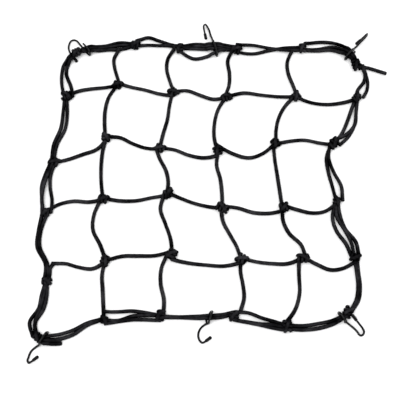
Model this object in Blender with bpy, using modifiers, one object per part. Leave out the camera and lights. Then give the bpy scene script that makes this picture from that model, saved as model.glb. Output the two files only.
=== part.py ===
"""Cargo net: a square luggage net of elastic cord with six wire hooks, lying slack on a surface.

Frame: +Z up, the net lies in the XY plane with its underside at z = 0 and the origin at the
middle of its outline. +Y is the net's top edge. The tables are in millimetres.
"""
import math

import bmesh
import bpy
from mathutils import Matrix, Vector

MM = 0.001
OBJECT_NAME = "cargo_net"

# Driving sizes, in millimetres
CORD_ACROSS = 4.9            # elastic cord, corner to corner of its six-sided section
CORD_REST = 0.433 * CORD_ACROSS   # height of a cord's centre when its flat side lies on the floor
KNOT_RISE = 1.7              # a cord climbs this much into a knot
KNOT_RAMP = 9.0              # and starts to climb this far from the knot's centre
KNOT_CENTRE_Z = 4.0
KNOT_VALLEY = 0.80           # radius of the groove between two wraps, over that of a wrap
KNOT_SIDES = 8
KNOT_SOLE = -0.9             # the two lowest of the eight sides are pressed flat on the floor
NET_KEPT = 0.82              # share of the joined net's triangles that is kept
WIRE_DIAMETER = 2.3
WIRE_REST = 1.2
EYE_LIFT = 2.85              # the border cords climb this much over the wire under them
CAP_LIFT = 4.35              # and this much over a cap
LIFT_FLAT = 5.5              # half of the stretch that stays up
LIFT_RAMP = 13.0             # half of the whole stretch
EYE_TOP_Z = 9.4
EYE_END_SIDE = 2.6           # how close the wire's free end lies to the other leg
CAP_LENGTH = 9.0
CAP_RADIUS = 1.9
CAP_FLARE = 2.05
CAP_BORE = 1.55
CAP_WALL = 1.6               # from the wire's end to the cap's own end
CAP_GAP = 0.35
CAP_SIDES = 10

# Knots: name, x, y, heading of the long axis (degrees), length, width, wraps
KNOTS = (
    ("TL", -183.4, 177, 25, 13.5, 12, 3),
    ("T1", -106.8, 191, 0, 13, 13, 3),
    ("T2", -48.4, 186, 90, 14.5, 10, 3),
    ("T3", 25.9, 183.7, -18, 14, 12.5, 3),
    ("T4", 113, 186.9, 90, 15.5, 10.5, 3),
    ("TR", 181.7, 161, 103, 16, 12.5, 3),
    ("R1", 179, 113.5, 50, 15, 11, 3),
    ("R2", 146, 49, 50, 17, 12, 3),
    ("R3", 144.1, -28.3, 80, 15, 10, 3),
    ("R4", 161.8, -100.2, -5, 14.8, 10.5, 3),
    ("BR", 148.6, -165.8, 60, 15, 12, 3),
    ("B4", 78.1, -182, 93, 15.5, 12, 3),
    ("B3", 17, -170.5, 85, 13, 12, 3),
    ("B2", -67.4, -169.5, 80, 14, 11.5, 3),
    ("B1", -132, -174.8, 90, 11.5, 10, 3),
    ("BL", -206.5, -194.8, 140, 14.5, 11, 3),
    ("L4", -201.3, -129, 0, 12.5, 10, 3),
    ("L3", -208.6, -43.6, 8, 13, 11.5, 3),
    ("L2", -202.4, 23.2, -20, 15.5, 12, 3),
    ("L1", -193.2, 115.6, 6, 14, 13.5, 3),
    ("N11", -128.5, 131.5, -10, 15, 12, 3),
    ("N12", -56.5, 121, -45, 14.5, 12.5, 3),
    ("N13", 12, 113.5, 20, 14.5, 11, 3),
    ("N14", 101.5, 115.5, 45, 14.5, 12, 3),
    ("N21", -140, 57, 90, 13.5, 12, 3),
    ("N22", -72, 42, -20, 15.5, 11.5, 3),
    ("N23", 0, 38.5, 110, 15, 12, 3),
    ("N24", 72.5, 49, 120, 13.5, 12, 3),
    ("N31", -140, -26, -10, 15, 12, 3),
    ("N32", -60.5, -18.5, 30, 14.5, 13, 3),
    ("N33", 5, -37.5, -25, 16, 12.5, 3),
    ("N34", 79.5, -37, 20, 14.5, 13, 3),
    ("N41", -134, -103.5, 70, 15.5, 12, 3),
    ("N42", -55.5, -96.5, 60, 14.5, 13, 3),
    ("N43", 27.5, -102, -30, 15.5, 13.5, 3),
    ("N44", 100, -101, 0, 16.5, 12, 3),
)

# Knots that lie on a hook's cap, and how far it holds them up
KNOTS_HELD_UP = {"TL": 4.5}

# Places on the border where a mesh cord leaves it without a knot of its own: name, x, y
BRANCHES = (
    ("J1", -124.5, 184),
    ("J4", 104, 183),
    ("JL", -196.8, -108.5),
    ("J3", 24, -164),
)

# Mesh cords: from, to, then how far the cord lies to the left of the straight line between
# the two places at the start, quarter, half, three quarters and end
MESH_CORDS = (
    ("L1", "N11", 0.5, 3.7, 2.9, 0.7, -0.2),
    ("N11", "N12", 3, 0, -1.6, -4.4, -5),
    ("N12", "N13", 1, 4.6, 0, -4, 0),
    ("N13", "N14", 1.5, 6.3, 2.8, 0, -0.7),
    ("N14", "R1", -1.5, -8.7, -10.7, -8, -2),
    ("L2", "N21", -0.7, -4.8, -7, -9, -3),
    ("N21", "N22", 1.5, 3.6, -1, -3.3, -1),
    ("N22", "N23", 0.5, -1, -7.4, -10.2, -7),
    ("N23", "N24", 8, -6.5, -14.7, -11.5, 0),
    ("N24", "R2", -1, 3, 4.4, 0.5, -2.5),
    ("L3", "N31", 1.6, 6.8, 6.4, 0.8, -0.5),
    ("N31", "N32", 1.3, -4, -5.7, -3.5, -2),
    ("N32", "N33", 0.5, -2, -3.6, -3, -0.3),
    ("N33", "N34", 2.5, 0, -6, -7.2, -4),
    ("N34", "R3", 3, -5, -11.3, -11.3, -3),
    ("JL", "N41", 0.8, -0.3, -6, -9, -2.5),
    ("N41", "N42", -0.5, 3.3, 2, 0.7, 4),
    ("N42", "N43", -6, -9, -10, -9.8, -4.5),
    ("N43", "N44", 1, -3.7, -6, -6.2, 0.5),
    ("N44", "R4", 1.5, -7.4, -14.4, -12.8, -5),
    ("J1", "N11", -3.5, -8.9, -7, -2.2, 3),
    ("N11", "N21", -0.5, -7.8, -8.7, -5.8, -1),
    ("N21", "N31", 0, -3.7, -4.5, -3.3, -0.3),
    ("N31", "N41", -3, -11.8, -13.5, -5.5, 0.3),
    ("N41", "B1", -0.3, -3.6, -2.6, -1.6, -0.6),
    ("T2", "N12", -6.5, -13.5, -13, -6.8, 1.3),
    ("N12", "N22", -1, -0.8, 0.7, -0.4, -0.5),
    ("N22", "N32", -5, -2.3, 2, 2.2, -2),
    ("N32", "N42", -5, -10.8, -5.7, -0.5, 0.5),
    ("N42", "B2", -5.3, -9.2, -6.7, 0.5, 3),
    ("T3", "N13", -5, -8.4, -2.8, -0.2, -2.8),
    ("N13", "N23", -1.5, -8.2, -9.7, -7.4, -0.5),
    ("N23", "N33", 0.7, -2.7, 0.4, 1, 0),
    ("N33", "N43", -2, -5, -3, -0.5, -1),
    ("N43", "J3", -1.3, -1, 2.4, 4.3, 1),
    ("J4", "N14", -5, -11.2, -10.3, -4.5, 1.5),
    ("N14", "N24", -1.5, -7.8, -9.3, -6.2, 0.8),
    ("N24", "N34", -2.8, -3.4, -2.8, -2.2, -1.8),
    ("N34", "N44", -2, -6.5, -4.7, 3.5, 3.5),
    ("N44", "B4", -5, -0.3, 5.1, 4.4, -4),
)

# Border cords, clockwise: from, to, then the distance outside the straight line between the
# knots at the start, quarter, half, three quarters and end, and the rise over its neighbours
BORDER_CORDS = (
    ("TL", "T1", 3, 7.9, 6.6, 8.2, 2.5, 0),
    ("TL", "T1", 1.5, 4, 3.3, 3.2, 0.3, 0.6),
    ("TL", "T1", 3, 1, 0.2, -2.4, 0, 0.3),
    ("T1", "T2", 6.3, 13.4, 10, 6, 3.5, 0),
    ("T1", "T2", -1, 1.7, 2.4, 3.2, 1, 0.4),
    ("T2", "T3", 3.2, 7.5, 7.2, 8.1, 4.8, 0),
    ("T2", "T3", 1, 3.8, 3.6, 3.7, 1.5, 0.6),
    ("T2", "T3", 0.7, 0.5, 0.2, 0.3, 0, 0.3),
    ("T2", "T3", -4.6, -14.4, -10.2, -1, 2, 0),
    ("T3", "T4", 8, 5.9, 0.6, -2.8, -3.5, 1.8),
    ("T3", "T4", -3, -6, -1.7, 1.5, 1.5, 0),
    ("T4", "TR", 7, 16.8, 21.9, 20.2, 5.5, 0),
    ("T4", "TR", -2.5, 4.8, 15.3, 14.8, 3.7, 0.6),
    ("T4", "TR", -3.5, 2.4, 10.4, 9.8, 1.7, 0.3),
    ("TR", "R1", 6, 11, 9.6, 1.9, -2, 0.3),
    ("TR", "R1", 8, 12, 14.4, 13.3, 8, 0),
    ("R1", "R2", -1, 0.5, 2.6, 3.3, 0.7, 0.4),
    ("R1", "R2", 1, 6.9, 12.5, 12.5, 7, 0),
    ("R1", "R2", 1, 6.7, 12.8, 8.7, -5.5, 0.8),
    ("R2", "R3", -3, -10, -8.7, -4.4, -0.5, 0),
    ("R2", "R3", -5, -7.6, -2.3, 6.5, 7.2, 0.5),
    ("R3", "R4", -0.5, -10.9, -11.4, -5.4, -4, 0),
    ("R3", "R4", 0, -5.9, -2, 1, -1, 0.5),
    ("R3", "R4", 1.5, -1.3, -0.4, 6.6, 4.5, 0.2),
    ("R4", "BR", -1, 3.7, 7.6, 7.8, 2, 0.4),
    ("R4", "BR", 2, 5.8, 10.1, 10.4, 3.4, 0),
    ("BR", "B4", 1.6, 5.2, 5.2, 3.8, -1, 0.4),
    ("BR", "B4", 3.4, 8.9, 10.4, 8.5, 3.6, 0),
    ("B4", "B3", -0.4, -2.4, -4.1, -6.9, -5, 0.4),
    ("B4", "B3", 5, 5.1, 4.3, 4, 4.2, 0),
    ("B4", "B3", 2, 1.5, 3.4, 3.8, 4, 0.7),
    ("B3", "B2", -4.5, -0.3, 0.6, 1.7, 1, 0.6),
    ("B3", "B2", -2.5, 2.6, 2.6, 2.1, 2.5, 0),
    ("B2", "B1", 0.5, -4.3, -7.8, -8.3, -9.5, 0),
    ("B2", "B1", 0, -1.2, -1.8, 2, 0.4, 0.6),
    ("B2", "B1", 6, 3.8, 2.3, 3, 4.6, 0.2),
    ("B1", "BL", -1.5, -1.5, 2.5, 2.9, 1, 0.4),
    ("B1", "BL", -1, 0.8, 7.4, 7.9, 4, 0.15),
    ("BL", "L4", 1.2, 5.9, -1, -2.4, 0, 0.3),
    ("BL", "L4", 2.5, 6.2, 2.8, 0.7, 0.7, 0.7),
    ("BL", "L4", 6, 12.6, 4.7, 3.5, 1, 0),
    ("L4", "L3", -1.8, -0.6, 7.7, 5.8, -2.5, 0.4),
    ("L4", "L3", 3, 1.6, 10.9, 8.9, 4, 0),
    ("L3", "L2", 4.5, 7.7, 10.6, 8.6, 4.4, 0),
    ("L3", "L2", 3, 7.4, 8, 5.4, 1.5, 1.8),
    ("L3", "L2", -6.3, -4.8, 0.2, 2, -1, 0.2),
    ("L2", "L1", 4.1, 5, 0, 0.7, 2.5, 0.4),
    ("L2", "L1", 1.5, 1.2, -5.6, -4.6, 0.4, 0),
    ("L1", "TL", 3.5, 9.9, 13.2, 12.8, 3.6, 0.4),
    ("L1", "TL", -8.5, -1.9, 7.2, 7.7, -0.9, 0),
)

# Short runs of cord with a shape of their own: name, then x, y and how far each point is held
# up over a cord at rest, besides what a hook's wire under it lifts it
SHORT_RUNS = (
    ("cut_end_top_right",
     ((186, 160.5, 2.1), (192, 158, 0.6), (199.5, 156.3, 0), (219.5, 149, 0))),
    ("cut_end_bottom_left_upper",
     ((-204, -196, 2.1), (-199, -198.5, 0), (-194.5, -198.8, 0), (-187, -199, 0), (-180.9, -199, 0))),
    ("cut_end_bottom_left_lower",
     ((-204, -198, 2.1), (-200, -201.8, 0), (-195, -202.2, 0), (-187, -202.3, 0), (-179.8, -201.8, 0))),
    ("beside_left_border",
     ((-200, -128, 1.5), (-198.6, -121, 0), (-198.6, -113.5, 0), (-195.3, -107.7, 0))),
)

# Hooks: name, inner and outer point of the eye, how far the leg under the cords lies to the left
# of the one over them (looking outwards) at the bend and at the outer point, which leg runs over
# the cords, how far the free end passes the outer point, then x, y and height of each point of
# the J; the last leg is straight and carries the cap
HOOKS = (
    ("tl", (-165.3, 177.1), (-173.2, 188.1), (2.3, 2.6), "end", 3.5,
     ((-178.2, 190.5, 1.2), (-181.9, 195.1, 1.2), (-184.9, 198.7, 1.2), (-189, 200.3, 1.2),
      (-192.8, 198.5, 1.2), (-194.8, 194, 1.2), (-195.2, 188, 1.2), (-193.3, 181.5, 1.5),
      (-190, 176.3, 2.1), (-182.5, 166.5, 2.1))),
    ("tm", (0.7, 175), (-5.1, 196.4), (0.8, 2.4), "shank", 1,
     ((-6.2, 202.5, 2.0), (-8, 208, 1.25), (-9.5, 214.5, 1.2), (-11.3, 219, 1.25), (-13, 221.5, 2.6),
      (-15, 222, 5.2), (-17, 218, 8.0), (-17, 213, 9.2), (-16.3, 208.5, 9.5), (-14, 196, 9.5))),
    ("tr", (167.5, 169.9), (179.4, 183.6), (-0.4, -2.6), "shank", 1,
     ((180.9, 186.6, 2.0), (184.7, 190.7, 1.25), (189.6, 196.3, 1.2), (194.6, 201.8, 1.25),
      (198.1, 205.3, 2.8), (199.1, 206.3, 6.5), (196.6, 203.3, 10.2), (192.6, 198.3, 12.0),
      (188.1, 193.8, 12.3), (181.1, 186.8, 12.3))),
    ("br", (137.5, -166), (144.1, -177.3), (0, 2.6), "shank", 0,
     ((146.3, -177.4, 2.0), (150.1, -180.3, 1.25), (154.7, -184.3, 1.2), (158.2, -188.3, 1.2),
      (159.8, -191, 1.2),
      (162.2, -192.5, 1.25), (164.7, -191, 1.8), (165.5, -188, 2.8), (163.5, -184, 4.2),
      (151.3, -170, 10.5))),
    ("bm", (-7.3, -164.9), (-12, -178.5), (-3.4, -4), "shank", -0.3,
     ((-14.7, -179.2, 2.0), (-18.7, -181.6, 1.25), (-21.9, -185.1, 1.2), (-23.6, -189, 1.2),
      (-24.1, -192.5, 1.2), (-23.5, -195.8, 1.25), (-22, -199, 2.0), (-19.5, -201.2, 3.6),
      (-16.8, -200.7, 5.8), (-9.2, -196.3, 12.5))),
    ("bl", (-195.8, -188.8), (-204.4, -203.1), (0.3, 1.6), "shank", -2.5,
     ((-207.6, -205.1, 2.0), (-211, -207.6, 1.25), (-213.7, -210.5, 1.2), (-215.4, -214.3, 1.2),
      (-216.3, -217.8, 1.2), (-217, -220.8, 1.4), (-215, -223.8, 3.2), (-212, -223, 5.4),
      (-203, -218, 12))),
)

TUCKED_HOOK = "tl"           # its J lies flat, with the cap under the border cords

CORD_COLOUR = (0.012, 0.012, 0.013, 1.0)
WIRE_COLOUR = (0.035, 0.035, 0.037, 1.0)
CAP_COLOUR = (0.008, 0.008, 0.009, 1.0)


def clear_scene():
    for obj in list(bpy.data.objects):
        bpy.data.objects.remove(obj, do_unlink=True)


def new_collection(name):
    collection = bpy.data.collections.new(name)
    bpy.context.scene.collection.children.link(collection)
    return collection


def new_material(name, colour, roughness, metallic):
    material = bpy.data.materials.new(name)
    material.use_nodes = True
    shader = material.node_tree.nodes["Principled BSDF"]
    shader.inputs["Base Color"].default_value = colour
    shader.inputs["Roughness"].default_value = roughness
    shader.inputs["Metallic"].default_value = metallic
    return material


def smooth_through(values, position):
    """Value of a smooth curve through equally spaced values, at a position from 0 to 1."""
    last = len(values) - 1
    cell = min(int(position * last), last - 1)
    t = position * last - cell
    start, end = values[cell], values[cell + 1]
    before = values[cell - 1] if cell > 0 else 2 * start - end
    after = values[cell + 2] if cell + 2 <= last else 2 * end - start
    slope_in = (end - before) / 2
    slope_out = (after - start) / 2
    t2, t3 = t * t, t * t * t
    return ((2 * t3 - 3 * t2 + 1) * start + (t3 - 2 * t2 + t) * slope_in
            + (3 * t2 - 2 * t3) * end + (t3 - t2) * slope_out)


def distance_to_segment(x, y, start, end):
    ax, ay = start
    bx, by = end
    length2 = (bx - ax) ** 2 + (by - ay) ** 2
    t = max(0.0, min(1.0, ((x - ax) * (bx - ax) + (y - ay) * (by - ay)) / length2))
    return math.hypot(x - ax - t * (bx - ax), y - ay - t * (by - ay))


def wires_under_cords():
    """Straight stretches of wire that cords lie over: start, end and how far they lift a cord."""
    stretches = [(hook[1], hook[2], EYE_LIFT) for hook in HOOKS]
    for hook in HOOKS:
        if hook[0] == TUCKED_HOOK:
            stretches.append((hook[-1][-4][:2], hook[-1][-1][:2], CAP_LIFT))
    return stretches


def wire_distance(x, y):
    return min(distance_to_segment(x, y, start, end) for start, end, _ in wires_under_cords())


def wire_lift(x, y):
    """How far a cord or knot is held up over the wires that pass under it."""
    lift = 0.0
    for start, end, height in wires_under_cords():
        share = (LIFT_RAMP - distance_to_segment(x, y, start, end)) / (LIFT_RAMP - LIFT_FLAT)
        lift = max(lift, height * max(0.0, min(1.0, share)))
    return lift


def cord_sections(places, row):
    """Points of one cord between two places, for its row of sideways distances and rise."""
    start, end, offsets, rise = row
    ax, ay = places[start]
    bx, by = places[end]
    length = math.hypot(bx - ax, by - ay)
    left = (-(by - ay) / length, (bx - ax) / length)

    def place(t):
        off = smooth_through(offsets, t)
        return ax + (bx - ax) * t + left[0] * off, ay + (by - ay) * t + left[1] * off

    bend = max(abs(offsets[i - 1] - 2 * offsets[i] + offsets[i + 1]) for i in (1, 2, 3))
    inner_count = 2 + min(2, int(bend / 4))
    ramp = KNOT_RAMP / length
    stations = [0.0] + [ramp + (1 - 2 * ramp) * i / inner_count for i in range(inner_count + 1)] + [1.0]
    if rise is None:
        rise = 0.0
    else:
        stations = with_wire_stations(place, length, stations)
    points = []
    for t in stations:
        x, y = place(t)
        near_knot = max(0.0, 1 - min(t, 1 - t) / ramp)
        bump = rise * (1 - (2 * t - 1) ** 4)
        z = CORD_REST + bump + max(KNOT_RISE * near_knot, wire_lift(x, y))
        points.append((x, y, z))
    return points


def with_wire_stations(place, length, stations):
    """Adds the sections that carry a border cord over a hook's wire."""
    fine = [i / 60 for i in range(61)]
    nearest = min(fine, key=lambda t: wire_distance(*place(t)))
    if wire_distance(*place(nearest)) > LIFT_FLAT:
        return stations
    extra = [nearest + step / length for step in (-LIFT_RAMP, -LIFT_FLAT, LIFT_FLAT, LIFT_RAMP)]
    extra = [t for t in extra if 0.02 < t < 0.98]
    kept = [t for t in stations if t in (0.0, 1.0) or all(abs(t - e) > 0.05 for e in extra)]
    return sorted(kept + extra)


def tube_object(name, routes, radius, resolution, collection):
    """Mesh of round tubes with filled ends, one for each route of points."""
    curve = bpy.data.curves.new(name + "_curve", "CURVE")
    curve.dimensions = "3D"
    curve.bevel_depth = radius * MM
    curve.bevel_resolution = resolution
    curve.use_fill_caps = True
    curve.twist_mode = "Z_UP"
    for route in routes:
        spline = curve.splines.new("POLY")
        spline.points.add(len(route) - 1)
        for point, (x, y, z) in zip(spline.points, route):
            point.co = (x * MM, y * MM, z * MM, 1.0)
    guide = bpy.data.objects.new(name + "_curve", curve)
    collection.objects.link(guide)
    bpy.context.view_layer.update()
    evaluated = guide.evaluated_get(bpy.context.evaluated_depsgraph_get())
    mesh = bpy.data.meshes.new_from_object(evaluated)
    mesh.name = name
    bpy.data.objects.remove(guide, do_unlink=True)
    bpy.data.curves.remove(curve)
    shape = bmesh.new()
    shape.from_mesh(mesh)
    bmesh.ops.remove_doubles(shape, verts=shape.verts, dist=0.001 * MM)
    bmesh.ops.recalc_face_normals(shape, faces=shape.faces)
    shape.to_mesh(mesh)
    shape.free()
    obj = bpy.data.objects.new(name, mesh)
    collection.objects.link(obj)
    return obj


def add_knot(shape, row):
    """Ridged lump: wraps of cord side by side along the knot's long axis."""
    name, x, y, heading, length, width, wraps = row
    rings = 2 * wraps
    made = bmesh.ops.create_uvsphere(shape, u_segments=KNOT_SIDES, v_segments=rings, radius=1.0)
    turn = Matrix.Rotation(math.radians(heading), 4, "Z")
    for vert in made["verts"]:
        ring = round(math.acos(max(-1.0, min(1.0, -vert.co.z))) / math.pi * rings)
        along = 2 * ring / rings - 1
        radius = width / 2 * math.sqrt(1 - 0.6 * along * along)
        if ring % 2 == 0:
            radius *= KNOT_VALLEY
        if ring in (0, rings):
            radius = 0.0
        angle = math.atan2(vert.co.y, vert.co.x) + math.pi / KNOT_SIDES
        across = radius * math.cos(angle)
        up = 0.85 * radius * math.sin(angle)
        if radius and math.sin(angle) < KNOT_SOLE:
            up = -KNOT_CENTRE_Z
        local = turn @ Vector((along * length / 2, across, 0))
        z = max(0.0, KNOT_CENTRE_Z + up) + KNOTS_HELD_UP.get(name, 0.0)
        vert.co = Vector((x + local.x, y + local.y, z)) * MM


def build_net(collection, helpers, material):
    places = {row[0]: (row[1], row[2]) for row in KNOTS}
    places.update({row[0]: (row[1], row[2]) for row in BRANCHES})
    routes = []
    for start, end, *offsets in MESH_CORDS:
        routes.append(cord_sections(places, (start, end, offsets, None)))
    for start, end, *offsets, rise in BORDER_CORDS:
        routes.append(cord_sections(places, (start, end, offsets, rise)))
    for _, points in SHORT_RUNS:
        routes.append([(x, y, CORD_REST + max(lift, wire_lift(x, y))) for x, y, lift in points])
    net = tube_object("net", routes, CORD_ACROSS / 2, 1, collection)

    shape = bmesh.new()
    for row in KNOTS:
        add_knot(shape, row)
    bmesh.ops.recalc_face_normals(shape, faces=shape.faces)
    mesh = bpy.data.meshes.new("knots")
    shape.to_mesh(mesh)
    shape.free()
    knots = bpy.data.objects.new("knots", mesh)
    helpers.objects.link(knots)
    knots.hide_render = True
    knots.display_type = "WIRE"

    union = net.modifiers.new("tied", "BOOLEAN")
    union.operation = "UNION"
    union.solver = "EXACT"
    union.use_self = True
    union.object = knots
    trim = net.modifiers.new("fewer_slivers", "DECIMATE")
    trim.ratio = NET_KEPT
    net.data.materials.append(material)
    return net


def eye_legs(inner, outer, sides, over_leg, passes):
    """The eye's two legs, from the inside of the net outwards: over the cords and under them."""
    inner, outer = Vector(inner), Vector(outer)
    out = (outer - inner).normalized()
    beside = Vector((-out.y, out.x))
    at_bend, at_outer = sides
    at_end = math.copysign(min(abs(at_outer), EYE_END_SIDE), at_outer)

    def at(base, along, aside, z):
        point = base + out * along + beside * aside
        return point.x, point.y, z

    over = [at(inner, 1.8, 0, EYE_TOP_Z - 1.2), at(inner, 4.0, 0, EYE_TOP_Z), at(outer, -4.0, 0, EYE_TOP_Z)]
    bend = [at(inner, 0.4, 0.2 * at_bend, 4.8), at(inner, 0.5, 0.5 * at_bend, 2.4)]
    middle = (inner + outer) / 2
    under = [at(inner, 2.6, 0.75 * at_bend, WIRE_REST), at(middle, 0, (at_bend + at_outer) / 2, WIRE_REST)]
    if over_leg == "shank":
        over += [at(outer, -1.2, 0, EYE_TOP_Z - 1.8), at(outer, 0.4, 0, 3.8)]
        under += [at(outer, passes - 2.8, at_outer, WIRE_REST), at(outer, passes, at_end, WIRE_REST)]
    else:
        over += [at(outer, 0, 0, EYE_TOP_Z - 0.6), at(outer, passes, 0, EYE_TOP_Z - 2)]
        under.append(at(outer, 1.0, at_end, WIRE_REST))
    return over, bend, under


def smooth_route(points, steps):
    """Smooth curve through the points."""
    last = (len(points) - 1) * steps
    return [tuple(smooth_through([p[axis] for p in points], i / last) for axis in range(3))
            for i in range(last + 1)]


def cap_axis(hook):
    return (Vector(hook[-1]) - Vector(hook[-2])).normalized()


def wire_end(hook):
    """End of the wire inside the cap, whose own end is the J's last point."""
    return Vector(hook[-1]) - cap_axis(hook) * CAP_WALL


def build_hook(row, collection, material):
    name, inner, outer, sides, over_leg, passes, hook = row
    over, bend, under = eye_legs(inner, outer, sides, over_leg, passes)
    if over_leg == "shank":
        eye = under[::-1] + bend[::-1] + over
    else:
        eye = over[::-1] + bend + under
    route = smooth_route(eye, 1) + smooth_route(hook[:-1], 2) + [tuple(wire_end(hook))]
    wire = tube_object("hook_" + name, [route], WIRE_DIAMETER / 2, 2, collection)
    wire.data.materials.append(material)
    return wire


def build_cap(row, collection, material):
    """Turned cap with a blind bore, set over the end of a hook's last leg."""
    name, hook = row[0], row[-1]
    # radius and height over the wire's end, from the tip down the outside and up the bore
    profile = ((0.0, CAP_WALL), (1.2, CAP_WALL - 0.25), (1.8, 0.7), (CAP_FLARE, -0.5), (CAP_RADIUS, -2.2),
               (CAP_RADIUS, CAP_WALL - CAP_LENGTH), (CAP_BORE, CAP_WALL - CAP_LENGTH),
               (CAP_BORE, CAP_GAP), (0.0, CAP_GAP))
    mesh = bpy.data.meshes.new("tip_" + name)
    mesh.from_pydata([(r * MM, 0, z * MM) for r, z in profile],
                     [(i, i + 1) for i in range(len(profile) - 1)], [])
    cap = bpy.data.objects.new("tip_" + name, mesh)
    collection.objects.link(cap)
    cap.location = wire_end(hook) * MM
    cap.rotation_euler = cap_axis(hook).to_track_quat("Z", "Y").to_euler()
    turn = cap.modifiers.new("turned", "SCREW")
    turn.steps = CAP_SIDES
    turn.render_steps = CAP_SIDES
    turn.use_merge_vertices = True
    turn.merge_threshold = 0.00001
    cap.data.materials.append(material)
    return cap


def main():
    clear_scene()
    collection = new_collection(OBJECT_NAME)
    helpers = new_collection("helpers")
    cord = new_material("elastic_cord", CORD_COLOUR, 0.85, 0.0)
    wire = new_material("hook_wire", WIRE_COLOUR, 0.35, 0.6)
    cap = new_material("hook_cap", CAP_COLOUR, 0.45, 0.0)
    build_net(collection, helpers, cord)
    for row in HOOKS:
        build_hook(row, collection, wire)
        build_cap(row, collection, cap)


main()
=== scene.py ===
"""Looks of the cargo net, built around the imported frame: braided elastic cord, wrapped knots,
black coated wire hooks with dipped caps, a pale floor, soft studio light and the camera.

The tables of places are those of the solids, in millimetres, so each piece lies where its
solid does.
"""
import math
import random

import bpy
from mathutils import Matrix, Vector

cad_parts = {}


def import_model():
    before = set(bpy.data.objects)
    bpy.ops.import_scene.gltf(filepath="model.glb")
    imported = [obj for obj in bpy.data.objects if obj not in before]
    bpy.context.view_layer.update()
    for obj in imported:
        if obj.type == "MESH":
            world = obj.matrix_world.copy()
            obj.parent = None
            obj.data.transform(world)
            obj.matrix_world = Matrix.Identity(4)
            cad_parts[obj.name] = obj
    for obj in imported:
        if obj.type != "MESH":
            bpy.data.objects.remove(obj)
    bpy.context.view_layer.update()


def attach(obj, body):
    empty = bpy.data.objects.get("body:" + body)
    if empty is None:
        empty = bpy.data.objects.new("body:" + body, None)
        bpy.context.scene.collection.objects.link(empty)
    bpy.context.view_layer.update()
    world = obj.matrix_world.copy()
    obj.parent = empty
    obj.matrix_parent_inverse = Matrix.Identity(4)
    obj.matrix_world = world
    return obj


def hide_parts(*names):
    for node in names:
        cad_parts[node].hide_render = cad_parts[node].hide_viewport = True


MM = 0.001

# Cord, in millimetres
CORD_RADIUS = 2.35
BORDER_RADIUS = 2.27
CORD_REST = 2.47             # height of a cord's centre where it lies on the floor
CORD_SIDES = 16
CORD_STEP = 1.5              # distance between two rings
CORD_STEPS_LEAST = 8         # of these distances, however short the cord
CORD_UNEVEN = 0.05           # share by which the cord thickens and thins along its length
UNEVEN_WAVE = 0.11           # turn of that wave from ring to ring, in radians
UNEVEN_SHIFT = 2.3           # and from one cord to the next
BRAID_SHIFT = 7.3            # how far one cord's braid pattern starts after the last one's
END_RINGS = ((0.22, 0.86), (0.34, 0.55))   # rounded end: distance past it and size, over the radius
KNOT_RISE = 1.7              # a cord climbs this much into a knot
KNOT_RAMP = 9.0              # and starts to climb this far from the knot's centre
RUN_STEPS = 8                # rings between two points of a short run
NEARLY_UPRIGHT = 0.95        # a route that starts steeper than this has another way up

# Knots, in millimetres
WRAP_RADIUS = 1.95           # cord pulled tight is thinner
WRAP_REST = 2.0              # lowest height of its centre
WRAP_UNEVEN = 0.02           # share by which it thickens and thins
WRAP_STEP = 1.0              # distance between two rings
WRAP_TURNS = 2.75
WRAP_START = (0.6, 1.2)      # the first turn starts between these angles, over pi
WRAP_LEAN = -0.5             # how far the top of a turn leans along the knot
WRAP_SWELL = 0.45            # how much the middle turns stand out over the end ones
WRAP_TIGHT = 0.3             # and how much all of them are drawn in
KNOT_CENTRE_Z = 4.0
KNOT_HEIGHT = 0.85           # height over width
KNOT_SEED = 5
BACK_BOW = (0.2, 0.9)        # least and most that the end led back over a knot bows sideways
BACK_INSET = 1.6             # that end starts and stops this far inside the knot's length
BACK_SINK = 0.2              # its top points lie this much into the wraps
BACK_FOOT = 1.0              # its two feet lie this far under the knot's centre
BACK_SHOULDERS = (2.4, 2.0)  # the points next to the feet lie this much under the top ones
BACK_STEPS = 5               # rings between two of its points

# Points of the end led back over a knot: place along the knot over its inset half length, and
# then on by this much; place across the knot over its width, and how much of the bow it takes
BACK_POINTS = (
    (-1.0, 0.0, 0.28, 0),
    (-1.0, 0.9, 0.24, 0),
    (-0.45, 0.0, 0.12, 1),
    (0.25, 0.0, -0.06, 1),
    (1.0, -1.2, -0.24, 0),
    (1.0, 0.1, -0.3, 0),
)

# Hooks, in millimetres
WIRE_RADIUS = 1.25
WIRE_REST = 1.2              # height of the wire's centre under the cords, as in the solids
WIRE_SIDES = 20
WIRE_STEPS = 8               # rings between two points of a hook
EYE_LIFT = 2.85              # the border cords climb this much over the wire under them
CAP_LIFT = 4.35              # and this much over a cap
LIFT_FLAT = 5.5              # half of the stretch that stays up
LIFT_RAMP = 13.0             # half of the whole stretch
EYE_TOP_Z = 9.4              # height of the wire's centre over the cords
EYE_END_SIDE = 2.6           # the wire's free end lies this close to the other leg
CAP_LENGTH = 9.0
CAP_RADIUS = 1.9
CAP_FLARE = 2.05             # radius where it is widest
CAP_WALL = 1.6               # from the wire's end to the cap's own end
CAP_ROUND = 1.3              # length of the rounded end
CAP_ROUND_STEPS = 6
CAP_SIDES = 32
CAP_INSIDE = -0.5            # the lip meets the wire this far past the mouth

# The cap's side below its rounded end: radius, and height over the wire's end
CAP_SIDE = (
    (CAP_FLARE, -0.5),
    (CAP_RADIUS + 0.05, -2.0),
)

# The cap's lip: radius over the cap's own, and height over the mouth
CAP_LIP = (
    (0.0, 0.8),
    (-0.15, 0.15),
    (-0.5, -0.2),
)

# Points of a hook's eye over the cords: distance out of the net, and height. The first two are
# measured from the inner point, the others from the outer one
EYE_RISE = ((1.8, EYE_TOP_Z - 1.2), (4.0, EYE_TOP_Z))
EYE_LEVEL = (-4.0, EYE_TOP_Z)
SHANK_OVER = ((-1.2, EYE_TOP_Z - 1.8), (0.4, 3.8))
END_OVER_DROPS = (0.6, 2.0)  # a free end over the cords lies this much under the top there

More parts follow.
